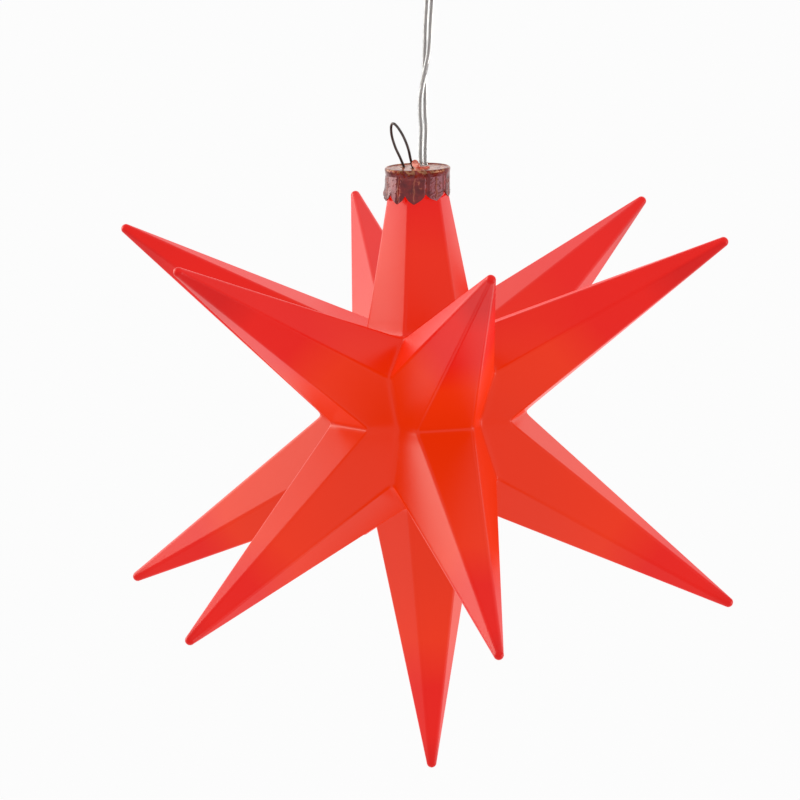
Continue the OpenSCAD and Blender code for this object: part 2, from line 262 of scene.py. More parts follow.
def lathe(bm, section, steps=96, rounding=0.0, segments=3, shift=(0, 0, 0)):
    """Ring or solid turned from a closed half section of radius and height"""
    verts = [bm.verts.new((r, 0.0, z)) for r, z in section]
    face = bm.faces.new(verts)
    if rounding:
        soft = [v for v in verts if v.co.x > 1e-6]
        bmesh.ops.bevel(
            bm, geom=soft, offset=rounding, offset_type="OFFSET", affect="VERTICES",
            segments=segments, profile=0.5, material=-1, clamp_overlap=True,
        )
        face = [f for f in bm.faces if all(abs(v.co.y) < 1e-9 for v in f.verts)][-1]
    rim = list(face.edges)
    bm.faces.remove(face)
    axial = [e for e in rim if all(v.co.x < 1e-6 for v in e.verts)]
    keep = [e for e in rim if e not in axial]
    for e in axial:
        bm.edges.remove(e)
    geom = keep + list({v for e in keep for v in e.verts})
    done = bmesh.ops.spin(
        bm, geom=geom, cent=(0, 0, 0), axis=(0, 0, 1), dvec=(0, 0, 0),
        angle=2 * math.pi, steps=steps, use_merge=True, use_duplicate=False,
    )
    linked = {v for g in done["geom_last"] if isinstance(g, bmesh.types.BMVert) for v in [g]}
    seen, todo = set(), list(linked)
    while todo:
        v = todo.pop()
        if v in seen:
            continue
        seen.add(v)
        todo += [e.other_vert(v) for e in v.link_edges]
    bmesh.ops.remove_doubles(bm, verts=list(seen), dist=1e-4)
    alive = [v for v in seen if v.is_valid]
    bmesh.ops.translate(bm, vec=shift, verts=alive)
    bmesh.ops.recalc_face_normals(bm, faces=list({f for v in alive for f in v.link_faces}))
    return alive


def face_outward(bm):
    bmesh.ops.recalc_face_normals(bm, faces=bm.faces)
    if bm.calc_volume(signed=True) < 0:
        bmesh.ops.reverse_faces(bm, faces=bm.faces)


def piece_from(name, bm, material, at=STAR_CENTRE, sharp=math.radians(35)):
    """Object with its place in its mesh, from a mesh made in millimetres"""
    bmesh.ops.transform(
        bm, matrix=Matrix.Translation(at) @ Matrix.Scale(MM, 4), verts=bm.verts,
    )
    mesh = bpy.data.meshes.new(name)
    bm.to_mesh(mesh)
    bm.free()
    piece = bpy.data.objects.new(name, mesh)
    bpy.context.scene.collection.objects.link(piece)
    mesh.materials.append(material)
    mesh.polygons.foreach_set("use_smooth", [True] * len(mesh.polygons))
    mesh.set_sharp_from_angle(angle=sharp)
    return piece


def carve(bm, parts, operation="DIFFERENCE"):
    """The mesh less each closed part, or with it"""
    scene = bpy.context.scene.collection.objects
    made = []
    for i, part in enumerate([bm, *parts]):
        mesh = bpy.data.meshes.new("carve")
        part.to_mesh(mesh)
        made.append(bpy.data.objects.new(f"carve_{i}", mesh))
        scene.link(made[-1])
    for part in made[1:]:
        cut = made[0].modifiers.new("cut", "BOOLEAN")
        cut.operation, cut.solver, cut.object = operation, "EXACT", part
    shape = made[0].evaluated_get(bpy.context.evaluated_depsgraph_get())
    mesh = bpy.data.meshes.new_from_object(shape)
    bm.clear()
    bm.from_mesh(mesh)
    for o in made:
        old = o.data
        bpy.data.objects.remove(o)
        bpy.data.meshes.remove(old)
    bpy.data.meshes.remove(mesh)
    return bm


def assign(piece, body, slot, *nodes):
    """Seat a finished piece on its body in place of its solids"""
    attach(piece, body)
    if nodes:
        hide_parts(*nodes)
    return piece


# Shared ways of making materials

class Finish:
    """A node material with short calls for the nodes that finishes share"""

    def __init__(self, name):
        self.material = bpy.data.materials.new(name)
        self.material.use_nodes = True
        self.tree = self.material.node_tree
        self.shader = self.tree.nodes["Principled BSDF"]
        self.at = self.tree.nodes.new("ShaderNodeTexCoord").outputs["Object"]

    def node(self, kind, inputs=(), **values):
        made = self.tree.nodes.new(kind)
        for key, value in values.items():
            setattr(made, key, value)
        for key, value in dict(inputs).items():
            if isinstance(value, bpy.types.NodeSocket):
                self.tree.links.new(value, made.inputs[key])
            else:
                made.inputs[key].default_value = value
        return made

    def set(self, **values):
        for key, value in values.items():
            socket = self.shader.inputs[key.replace("_", " ")]
            if isinstance(value, bpy.types.NodeSocket):
                self.tree.links.new(value, socket)
            else:
                socket.default_value = value
        return self

    def noise(self, scale, detail=3.0, roughness=0.5, vector=None):
        return self.node("ShaderNodeTexNoise", {
            "Vector": vector or self.at, "Scale": scale, "Detail": detail,
            "Roughness": roughness,
        }).outputs["Fac"]

    def ramp(self, factor, *stops):
        made = self.node("ShaderNodeValToRGB", {"Fac": factor})
        band = made.color_ramp
        while len(band.elements) < len(stops):
            band.elements.new(0.5)
        for element, (place, colour) in zip(band.elements, stops):
            element.position = place
            element.color = (*colour, 1.0)
        return made.outputs["Color"]

    def between(self, factor, low, high, span=(0.0, 1.0)):
        return self.node("ShaderNodeMapRange", {
            "Value": factor, "From Min": span[0], "From Max": span[1],
            "To Min": low, "To Max": high,
        }).outputs["Result"]

    def blend(self, factor, first, second):
        return self.node("ShaderNodeMix", {
            "Factor": factor, "A": first, "B": (*second, 1.0),
        }, data_type="RGBA").outputs["Result"]

    def bump(self, height, strength, distance):
        normal = self.node("ShaderNodeBump", {
            "Height": height, "Strength": strength, "Distance": distance,
        }).outputs["Normal"]
        self.tree.links.new(normal, self.shader.inputs["Normal"])
        return self


def grey(level):
    return (level, level, level)


def star_plastic():
    """Satin translucent plastic with a painted glow: emission stands in for the lamp's light from
    inside, deeper red towards the tips
    """
    star = bpy.context.scene.star_settings
    f = Finish("star_plastic")
    # Painted glow: emission by distance from the star's centre, reaching further below the centre,
    # with a little random drift.
    away = f.node("ShaderNodeVectorMath", {0: f.at, 1: STAR_CENTRE}, operation="DISTANCE")
    height = f.node("ShaderNodeSeparateXYZ", {"Vector": f.at}).outputs["Z"]
    under = f.between(height, -0.022, 0.0, (STAR_CENTRE.z - 0.03, STAR_CENTRE.z + 0.01))
    drift = f.between(f.noise(28.0, 2.0), -0.005, 0.005)
    shift = f.node("ShaderNodeMath", {0: under, 1: drift}, operation="ADD")
    far = f.node("ShaderNodeMath", {
        0: away.outputs["Value"], 1: shift.outputs["Value"]}, operation="ADD")
    reach = f.between(far.outputs["Value"], 0.0, 1.0, (0.0, 0.13))
    glow = f.ramp(
        reach, (0.26, tuple(0.93 * c for c in star.centre_colour)), (0.44, star.centre_colour),
        (0.56, star.middle_colour), (0.70, star.middle_colour), (0.82, star.tip_colour),
    )
    # Painted shade: on the upper half, faces turned up get the duller middle glow in place of the full
    # glow.
    lean = f.node("ShaderNodeSeparateXYZ", {
        "Vector": f.node("ShaderNodeNewGeometry").outputs["Normal"]}).outputs["Z"]
    over = f.between(height, 0.0, 1.0, (STAR_CENTRE.z + 0.015, STAR_CENTRE.z + 0.035))
    shade = f.node("ShaderNodeMath", {
        0: f.between(lean, 0.0, 0.75, (-0.1, 0.35)), 1: over}, operation="MULTIPLY")
    shaded_glow = f.node("ShaderNodeMix", {
        "Factor": shade.outputs["Value"], "A": glow, "B": (*star.middle_colour, 1.0),
    }, data_type="RGBA").outputs["Result"]
    body = f.ramp(
        reach, (0.0, (0.10, 0.006, 0.002)), (0.44, (0.10, 0.006, 0.002)),
        (0.9, (0.16, 0.005, 0.003)),
    )
    satin = f.noise(900.0, 4.0, 0.6)
    f.set(
        Base_Color=body, Emission_Color=shaded_glow, Emission_Strength=1.0,
        Roughness=f.between(satin, 0.29, 0.35), IOR=1.55, Specular_IOR_Level=0.22,
    )
    f.bump(f.noise(2600.0, 3.0, 0.6), 0.05, 0.0003)
    return f.material


def cap_copper():
    """Bright pressed metal, mottled brown on top and deep red in its creases. Its emission paints the
    star's red glow on the metal, brown-gold on top, and a pink highlight along the veins; the red in
    the creases is painted shade with a painted reflection of the star.
    """
    cap = bpy.context.scene.cap_settings
    f = Finish("cap_copper")
    spots = f.between(f.noise(700.0, 3.0, 0.65), 0.0, 0.9, (0.46, 0.60))
    plain = f.node("ShaderNodeMath", {0: 1.0, 1: spots}, operation="SUBTRACT")
    tone = f.node("ShaderNodeMath", {
        0: f.node("ShaderNodeAttribute", attribute_name="tone").outputs["Fac"],
        1: plain.outputs["Value"],
    }, operation="MULTIPLY").outputs["Value"]
    line = f.between(f.node("ShaderNodeAttribute", attribute_name="line").outputs["Fac"],
                     0.0, 0.85, (0.15, 0.7))
    # Base colour by tone: dark rose copper down the skirt, painted shade with a painted red reflection
    # in the creases, brown on the rim and top; darker along the veins.
    metal = f.ramp(
        tone, (0.0, cap.metal), (0.12, cap.metal), (0.4, cap.crease_shade_red),
        (0.6, cap.crease_shade_red), (0.9, cap.rim_brown),
    )
    # Painted glow: emission paints the star's red light on the metal, dark red down the skirt, red in
    # the creases and brightest, brown-gold, on top; along the veins a painted pink highlight, its
    # strength varying in random blotches.
    painted_red_glow = f.ramp(
        tone, (0.05, (0.110, 0.007, 0.003)), (0.2, (0.16, 0.03, 0.025)),
        (0.4, (0.13, 0.008, 0.005)), (0.6, (0.15, 0.020, 0.008)), (0.9, (0.26, 0.100, 0.050)),
    )
    f.set(
        Base_Color=f.blend(line, metal, (0.03, 0.015, 0.012)),
        Metallic=1.0, Roughness=f.between(f.noise(700.0, 3.0), 0.12, 0.22),
        Emission_Color=f.blend(line, painted_red_glow, (0.30, 0.085, 0.055)),
        Emission_Strength=f.between(f.noise(380.0, 3.0, 0.6), 0.5, 1.3, (0.35, 0.65)),
    )
    f.bump(f.noise(1500.0, 4.0, 0.6), 0.2, 0.0002)
    return f.material


def loop_wire():
    f = Finish("loop_wire")
    f.set(
        Base_Color=f.ramp(f.noise(400.0), (0.3, (0.05, 0.038, 0.035)), (0.7, (0.11, 0.09, 0.085))),
        Metallic=0.85, Roughness=f.between(f.noise(900.0), 0.25, 0.4),
    )
    f.bump(f.noise(3000.0), 0.15, 0.0001)
    return f.material


def soft_clear(name, colour, rough, clear):
    f = Finish(name)
    f.set(
        Base_Color=f.ramp(
            f.noise(300.0), (0.3, tuple(0.9 * c for c in colour)), (0.7, colour),
        ),
        Transmission_Weight=clear, IOR=1.5, Roughness=rough,
    )
    f.bump(f.noise(1200.0), 0.1, 0.0002)
    return f.material


def milky_tube():
    """Milky plastic, brightest round the LEDs in its lower part"""
    f = Finish("tube_milky")
    height = f.node("ShaderNodeSeparateXYZ", {"Vector": f.at}).outputs["Z"]
    near = f.between(height, 0.0, 1.0, (STAR_CENTRE.z + 0.045, STAR_CENTRE.z + 0.005))
    f.set(
        Base_Color=f.ramp(f.noise(300.0), (0.3, (0.86, 0.83, 0.77)), (0.7, (0.93, 0.90, 0.84))),
        Transmission_Weight=0.5, IOR=1.5, Roughness=0.35,
        Emission_Color=f.ramp(near, (0.0, (0.05, 0.04, 0.03)), (1.0, (0.60, 0.50, 0.34))),
        Emission_Strength=0.8,
    )
    f.bump(f.noise(1200.0), 0.1, 0.0002)
    return f.material


def moulded(name, colour, rough=(0.30, 0.42), grain=1500.0):
    f = Finish(name)
    f.set(
        Base_Color=f.ramp(
            f.noise(60.0), (0.3, tuple(0.95 * c for c in colour)), (0.7, colour),
        ),
        Roughness=f.between(f.noise(250.0), *rough), IOR=1.5,
    )
    f.bump(f.noise(grain, 3.0, 0.6), 0.08, 0.0002)
    return f.material


def plated(name, colour, rough=(0.22, 0.38)):
    f = Finish(name)
    f.set(
        Base_Color=f.ramp(
            f.noise(500.0), (0.3, tuple(0.85 * c for c in colour)), (0.7, colour),
        ),
        Metallic=1.0, Roughness=f.between(f.noise(1500.0), *rough),
    )
    f.bump(f.noise(2500.0), 0.1, 0.0001)
    return f.material


def lit(name, colour, strength, base):
    f = Finish(name)
    f.set(
        Base_Color=f.ramp(f.noise(300.0), (0.3, tuple(0.9 * c for c in base)), (0.7, base)),
        Emission_Color=(*colour, 1.0), Emission_Strength=strength,
        Roughness=f.between(f.noise(500.0), 0.3, 0.4),
    )
    return f.material


# The star's form. A point is a hexagonal pyramid with round ridges and tip;
# the field below gives the distance of places from all fourteen points.

RING_TURNS = [math.radians(60 * k - 90) for k in range(6)]


def point_turn(kind, k=0):
    """Rotation that stands a point made on +Z in its place in the star"""
    star = bpy.context.scene.star_settings
    if kind == "neck":
        return Matrix.Identity(4)
    if kind == "bottom":
        return Matrix.Diagonal((1, 1, -1, 1))
    tilt = Matrix.Rotation(math.pi / 2 - star.ring_tilt, 4, "Y") @ Matrix.Rotation(math.pi / 6, 4, "Z")
    around = Matrix.Rotation(RING_TURNS[k], 4, "Z")
    if kind == "lower":
        return Matrix.Diagonal((1, 1, -1, 1)) @ around @ tilt
    return around @ tilt


def point_sizes():
    star = bpy.context.scene.star_settings
    slope = star.root_radius / star.reach
    tip_z = star.reach - star.tip_radius / math.sin(math.atan(slope))
    flat = math.atan(slope * math.cos(math.pi / 6))
    return slope, tip_z, flat


def point_distance(places):
    """Distance of places, in a point's own frame, from its rounded surface"""
    star = bpy.context.scene.star_settings
    slope, tip_z, flat = point_sizes()
    share = np.clip(places[:, 2] / tip_z, 0.0, 1.0)
    root = star.root_radius - star.ridge_radius / math.cos(math.pi / 6)
    flat_r = root * (1 - share) * math.cos(math.pi / 6)
    round_r = star.ridge_radius + (star.tip_radius - star.ridge_radius) * share
    x, y = np.abs(places[:, 0]), np.abs(places[:, 1])
    kx, ky, kz = -math.cos(math.pi / 6), 0.5, math.tan(math.pi / 6)
    fold = 2 * np.minimum(kx * x + ky * y, 0.0)
    x, y = x - fold * kx, y - fold * ky
    x = x - np.clip(x, -kz * flat_r, kz * flat_r)
    y = y - flat_r
    side = np.hypot(x, y) * np.sign(y)
    over = np.maximum(places[:, 2] - tip_z, 0.0)
    tip = np.sqrt(np.maximum(side, 0.0) ** 2 + over ** 2)
    near = np.where(over > 0, tip - round_r, (side - round_r) * math.cos(flat))
    return np.maximum(near, -places[:, 2])


def star_turns():
    turns = [point_turn("neck"), point_turn("bottom")]
    turns += [point_turn(kind, k) for kind in ("upper", "lower") for k in range(6)]
    return [np.array(t.to_3x3()) for t in turns]


def star_distance(places, turns, sharpness):
    """Distance from the whole star, with its valleys filled softly"""
    each = np.stack([point_distance(places @ t) for t in turns])
    least = each.min(axis=0)
    return least - np.log(np.exp(-sharpness * (each - least)).sum(axis=0)) / sharpness


def star_slope(places, turns, sharpness):
    step = 0.01
    parts = []
    for axis in np.eye(3):
        ahead = star_distance(places + step * axis, turns, sharpness)
        behind = star_distance(places - step * axis, turns, sharpness)
        parts.append((ahead - behind) / (2 * step))
    return np.stack(parts, axis=1)


def point_skin(bm, corner_r, round_r, segments, top_z, dome_r=0.0, top_share=0.0, cuts=0):
    """Open hexagonal cone with round corners, from its root to a dome or a flat"""
    ring = bmesh.ops.create_circle(bm, cap_ends=True, radius=corner_r, segments=6)["verts"]
    start = math.atan2(ring[0].co.y, ring[0].co.x)
    bmesh.ops.rotate(bm, verts=ring, matrix=Matrix.Rotation(-start, 3, "Z"))
    bmesh.ops.bevel(
        bm, geom=ring, offset=round_r * math.tan(math.pi / 6), offset_type="OFFSET",
        affect="VERTICES", segments=segments, profile=0.5, material=-1,
        clamp_overlap=False,
    )
    face = [f for f in bm.faces if len(f.verts) == 6 * (segments + 1)][-1]
    base = list(face.edges)
    bm.faces.remove(face)
    made = bmesh.ops.extrude_edge_only(bm, edges=base)["geom"]
    verts = [g for g in made if isinstance(g, bmesh.types.BMVert)]
    edges = [
        g for g in made if isinstance(g, bmesh.types.BMEdge)
        and g.verts[0] in verts and g.verts[1] in verts
    ]
    post = corner_r - round_r / math.cos(math.pi / 6)
    for v in verts:
        if dome_r:
            turn = round(math.atan2(v.co.y, v.co.x) / (math.pi / 3)) * math.pi / 3
            out = Vector((v.co.x - post * math.cos(turn), v.co.y - post * math.sin(turn), 0))
            v.co = out.normalized() * dome_r
        else:
            v.co *= top_share
        v.co.z = top_z
    long_edges = [
        e for v in verts for e in v.link_edges if e not in edges
    ]
    if dome_r:
        dome_rows = 5
        ring_edges, height, width = edges, 0.0, dome_r
        for row in range(1, dome_rows + 1):
            angle = math.pi / 2 * row / dome_rows
            made = bmesh.ops.extrude_edge_only(bm, edges=ring_edges)["geom"]
            top = [g for g in made if isinstance(g, bmesh.types.BMVert)]
            ring_edges = [
                g for g in made if isinstance(g, bmesh.types.BMEdge)
                and g.verts[0] in top and g.verts[1] in top
            ]
            new_width = max(dome_r * math.cos(angle), 1e-5)
            new_height = dome_r * math.sin(angle)
            for v in top:
                v.co.x *= new_width / width
                v.co.y *= new_width / width
                v.co.z += new_height - height
            width, height = new_width, new_height
    else:
        bmesh.ops.contextual_create(bm, geom=edges)
    if cuts:
        bmesh.ops.subdivide_edges(bm, edges=long_edges, cuts=cuts, use_grid_fill=False)
    return base


VALLEY_ROWS = (0.35, 0.8, 1.4, 2.2, 3.4)
NECK_SHOULDER = 75.0
NECK_BORE = 7.5
SPIGOT_R = 8.9
SPIGOT_TOP = 82.2
SHOULDER_WALL = 1.5


def mitre_walls(kind):
    """Outward normals of the planes in which a point meets its neighbours"""
    star = bpy.context.scene.star_settings
    half = (math.pi / 2 + star.ring_tilt) / 2
    if kind == "ring":
        return [
            Vector((0, 0, -1)), Vector((-math.sin(half), 0, math.cos(half))),
            Vector((-0.5, math.cos(math.pi / 6), 0)), Vector((-0.5, -math.cos(math.pi / 6), 0)),
        ]
    level = [math.radians(60 * k + 30) for k in range(6)]
    return [
        Vector((math.cos(a) * math.sin(half), math.sin(a) * math.sin(half), -math.cos(half)))
        for a in level
    ]


def cut_below(bm, normal, place=(0, 0, 0)):
    """Drop what lies on the outer side of a plane"""
    bmesh.ops.bisect_plane(
        bm, geom=bm.verts[:] + bm.edges[:] + bm.faces[:], plane_co=place, plane_no=normal,
        clear_outer=True, dist=1e-5,
    )


def add_loop_beside(bm, normal, depth):
    """Add an edge loop beside a mitre plane, without cutting anything off"""
    bmesh.ops.bisect_plane(
        bm, geom=bm.verts[:] + bm.edges[:] + bm.faces[:],
        plane_co=normal * -depth, plane_no=normal, dist=1e-5,
    )


def rim_edges(bm, low=-1000.0, high=1000.0):
    return [
        e for e in bm.edges if len(e.link_faces) == 1
        and all(low < v.co.z < high for v in e.verts)
    ]


def add_spigot(bm):
    """Shoulder and round spigot that join the outer and the inner skin"""
    rows = [
        (SPIGOT_R, NECK_SHOULDER), (SPIGOT_R, SPIGOT_TOP - 0.3), (SPIGOT_R - 0.3, SPIGOT_TOP),
        (NECK_BORE + 0.3, SPIGOT_TOP), (NECK_BORE, SPIGOT_TOP - 0.3),
        (NECK_BORE, NECK_SHOULDER - SHOULDER_WALL),
    ]
    outer_top = rim_edges(bm, NECK_SHOULDER - 0.1)
    inner_top = rim_edges(bm, NECK_SHOULDER - SHOULDER_WALL - 0.1, NECK_SHOULDER - 0.1)
    radius, height = rows[0]
    ring = bmesh.ops.create_circle(
        bm, cap_ends=False, radius=radius, segments=72, matrix=Matrix.Translation((0, 0, height)),
    )["verts"]
    edges = list({e for v in ring for e in v.link_edges})
    bmesh.ops.bridge_loops(bm, edges=outer_top + edges)
    for new_radius, new_height in rows[1:]:
        made = bmesh.ops.extrude_edge_only(bm, edges=edges)["geom"]
        verts = [g for g in made if isinstance(g, bmesh.types.BMVert)]
        edges = [
            g for g in made if isinstance(g, bmesh.types.BMEdge)
            and g.verts[0] in verts and g.verts[1] in verts
        ]
        wide = new_radius / radius
        bmesh.ops.scale(bm, vec=(wide, wide, 1), verts=verts)
        bmesh.ops.translate(bm, vec=(0, 0, new_height - height), verts=verts)
        radius, height = new_radius, new_height
    bmesh.ops.bridge_loops(bm, edges=inner_top + edges)


def star_point(kind):
    """One hollow point, mitred against its neighbours, made on its own axis"""
    star = bpy.context.scene.star_settings
    slope, tip_z, flat = point_sizes()
    inner_reach = star.reach - star.wall / math.sin(flat)
    inner_end = tip_z - 11
    inner_root = inner_reach * slope
    walls = mitre_walls("ring" if kind == "ring" else "pole")
    stand = Matrix.Rotation(-RING_TURNS[0], 4, "Z") @ point_turn("upper", 0)
    outer, inner = bmesh.new(), bmesh.new()
    point_skin(
        outer, star.root_radius, star.ridge_radius, 5, tip_z, dome_r=star.tip_radius, cuts=17,
    )
    point_skin(
        inner, inner_root, inner_root * 0.06, 1, inner_end,
        top_share=(inner_reach - inner_end) / inner_reach,
    )
    for skin, shoulder in ((outer, NECK_SHOULDER), (inner, NECK_SHOULDER - SHOULDER_WALL)):
        bmesh.ops.remove_doubles(skin, verts=skin.verts, dist=1e-3)
        if kind == "ring":
            bmesh.ops.transform(skin, matrix=stand, verts=skin.verts)
        for wall in walls:
            cut_below(skin, wall)
        if kind == "neck":
            cut_below(skin, Vector((0, 0, 1)), (0, 0, shoulder))
    for wall in walls:
        for depth in VALLEY_ROWS:
            add_loop_beside(outer, wall, depth)
    mesh = bpy.data.meshes.new("inner")
    inner.to_mesh(mesh)
    outer.from_mesh(mesh)
    bpy.data.meshes.remove(mesh)
    inner.free()
    if kind == "neck":
        add_spigot(outer)
    bmesh.ops.bridge_loops(outer, edges=rim_edges(outer))
    face_outward(outer)
    bmesh.ops.triangulate(
        outer, faces=outer.faces, quad_method="BEAUTY", ngon_method="BEAUTY",
    )
    if kind == "ring":
        bmesh.ops.transform(outer, matrix=stand.inverted(), verts=outer.verts)
    return outer


def dress_star(bm, turn, turns):
    """Soften the valleys of a placed point; give back the normals of its skin"""
    star = bpy.context.scene.star_settings
    bmesh.ops.transform(bm, matrix=turn, verts=bm.verts)
    if turn.determinant() < 0:
        bmesh.ops.reverse_faces(bm, faces=bm.faces)
    bm.verts.ensure_lookup_table()
    places = np.array([v.co[:] for v in bm.verts])
    own = np.array(turn.to_3x3())
    skin = np.abs(point_distance(places @ own)) < 0.03
    soft = places.copy()
    for _ in range(8):
        gap = star_distance(soft[skin], turns, star.valley_sharpness)
        grade = star_slope(soft[skin], turns, star.valley_sharpness)
        size = np.maximum((grade ** 2).sum(axis=1), 0.02)
        step = -(gap / size)[:, None] * grade
        soft[skin] += np.clip(step, -0.6, 0.6)
    for v, place in zip(bm.verts, soft):
        v.co = place
    grade = star_slope(soft, turns, star.valley_sharpness)
    grade /= np.maximum(np.linalg.norm(grade, axis=1), 1e-9)[:, None]
    return skin, grade


def star_piece(name, node, kind, turn, material, turns):
    bm = star_point(kind)
    skin, grade = dress_star(bm, turn, turns)
    piece = piece_from(name, bm, material, sharp=math.radians(30))
    mesh = piece.data
    loops = np.zeros((len(mesh.loops), 3))
    for face in mesh.polygons:
        ids = [mesh.loops[i].vertex_index for i in face.loop_indices]
        if all(skin[i] for i in ids):
            normal = np.array(face.normal)
            if all(float(grade[i] @ normal) > 0.3 for i in ids):
                for loop, i in zip(face.loop_indices, ids):
                    loops[loop] = grade[i]
    mesh.normals_split_custom_set(loops.tolist())
    return assign(piece, "star", "star_plastic", node)


def make_star():
    material = star_plastic()
    turns = star_turns()
    star_piece("neck_form", "neck_point", "neck", point_turn("neck"), material, turns)
    star_piece("bottom_form", "bottom_point", "pole", point_turn("bottom"), material, turns)
    for kind in ("upper", "lower"):
        for k in range(6):
            star_piece(
                f"{kind}_form_{k + 1}", f"{kind}_point_{k + 1}", "ring",
                point_turn(kind, k), material, turns,
            )


# Cap, loop and grommet

# Each lobe's place round the cap in degrees from the camera's side, how much
# shorter it is than the longest one in mm, and for the crease after it the
# place, the depth of its groove and how far its corner stands in. They were
# crimped by hand. The skirt is nearly flat between two creases.
LOBES = (
    (-178, 0.3, -164, 0.4, 0.1), (-145, 0.6, -130, 0.3, 0.0), (-106, 0.3, -97, 0.45, 0.2),
    (-71, 0.6, -69, 0.15, 0.5), (-35, 0.1, -33, 0.5, -0.25), (-5, 0.0, 16, 0.6, 0.1),
    (38, 0.9, 57, 0.4, 0.1), (76, 1.5, 93, 0.4, 0.0), (110, 0.7, 127, 0.35, 0.2),
    (143, 0.3, 160, 0.35, 0.0),
)
NOTCH = 3.0
SHIFT = 0.6
# Places round the cap, from the camera's side, of the lobes on which the brown of the top and its
# painted glow reach further down the skirt.
BROWN_FRONT = (-31, 14)
FLATNESS = 0.65
GROOVE = 1.5
TURNS = [lobe[0] for lobe in LOBES] + [LOBES[0][0] + 360]
SHORTS = [lobe[1] for lobe in LOBES] + [LOBES[0][1]]
CREASES = [lobe[2:] for lobe in LOBES] + [(LOBES[0][2] + 360, *LOBES[0][3:])]


def cap_section():
    """Half section of the cap as radius and depth under its top"""
    cap = bpy.context.scene.cap_settings
    hem, sheet = cap.hem_radius, cap.sheet
    roll = [(hem - 1.5, 0.0), (hem - 1.05, -0.33), (hem - 0.62, 0.0), (hem - 0.55, 0.7)]
    skirt = [
        (hem - 0.50, 1.6), (hem - 0.42, 3.2), (hem - 0.34, 5.2), (hem - 0.26, 7.2),
        (hem - 0.14, 9.2), (hem, cap.height),
    ]
    fine = [(p.x, p.z) for p in smooth_route([(r, 0, z) for r, z in roll + skirt], 10)]
    inner = [(r - sheet, z) for r, z in fine[::-5] if z > 0.9]
    plate = [(roll[0][0] * k / 14, 0.0) for k in range(14)]
    return plate + fine + inner + [(roll[0][0], sheet), (0.0, sheet)]


def lobe_place(angle):
    """Lobe number with its fraction, for a place round the cap"""
    return float(np.interp((angle - TURNS[0]) % 360 + TURNS[0], TURNS, range(len(TURNS))))


def fold(angle, radius):
    """How far the skirt is pressed in between its creases and at them, and
    how near a crease is"""
    angle = (angle - CREASES[0][0]) % 360 + CREASES[0][0]
    last = next(i for i in range(1, len(CREASES)) if angle <= CREASES[i][0])
    low, low_depth, low_in = CREASES[last - 1]
    high, high_depth, high_in = CREASES[last]
    half = math.radians(high - low) / 2
    chord = radius * (math.cos(half) / math.cos(math.radians(angle - low) - half) - 1)
    away = min(angle - low, high - angle)
    depth = low_depth if angle - low < high - angle else high_depth
    stands_in = low_in + (high_in - low_in) * (angle - low) / (high - low)
    near = max(0.0, 1 - math.radians(away) * radius / GROOVE)
    return FLATNESS * chord - stands_in - depth * near ** 2, near


def emboss(at_lobe, down, place):
    """Depth of the pressed leaf veins on the skirt, and how much a vein it is"""
    u = at_lobe - round(at_lobe)
    wander = noise.noise(place * 0.4)
    phase = 3.3 * down - 2.0 * abs(u) + 1.1 * wander + 0.3 * noise.noise(place * 1.3)
    veins = max(0.0, math.cos(2 * math.pi * phase)) ** 8
    veins *= min(1.0, max(0.0, 0.6 + 1.6 * noise.noise(place * 0.7 + Vector((5, 0, 0)))))
    rib = math.exp(-((u + 0.08 * wander) / 0.035) ** 2)
    window = min(1.0, max(0.0, down - 0.16) / 0.10) * min(1.0, max(0.0, 0.95 - down) / 0.08)
    edge = max(0.0, 1 - (2 * abs(u)) ** 4)
    line = window * edge * max(veins, 0.8 * rib)
    return window * edge * (0.16 * veins + 0.10 * rib + 0.02 * noise.noise(place * 0.6)), line


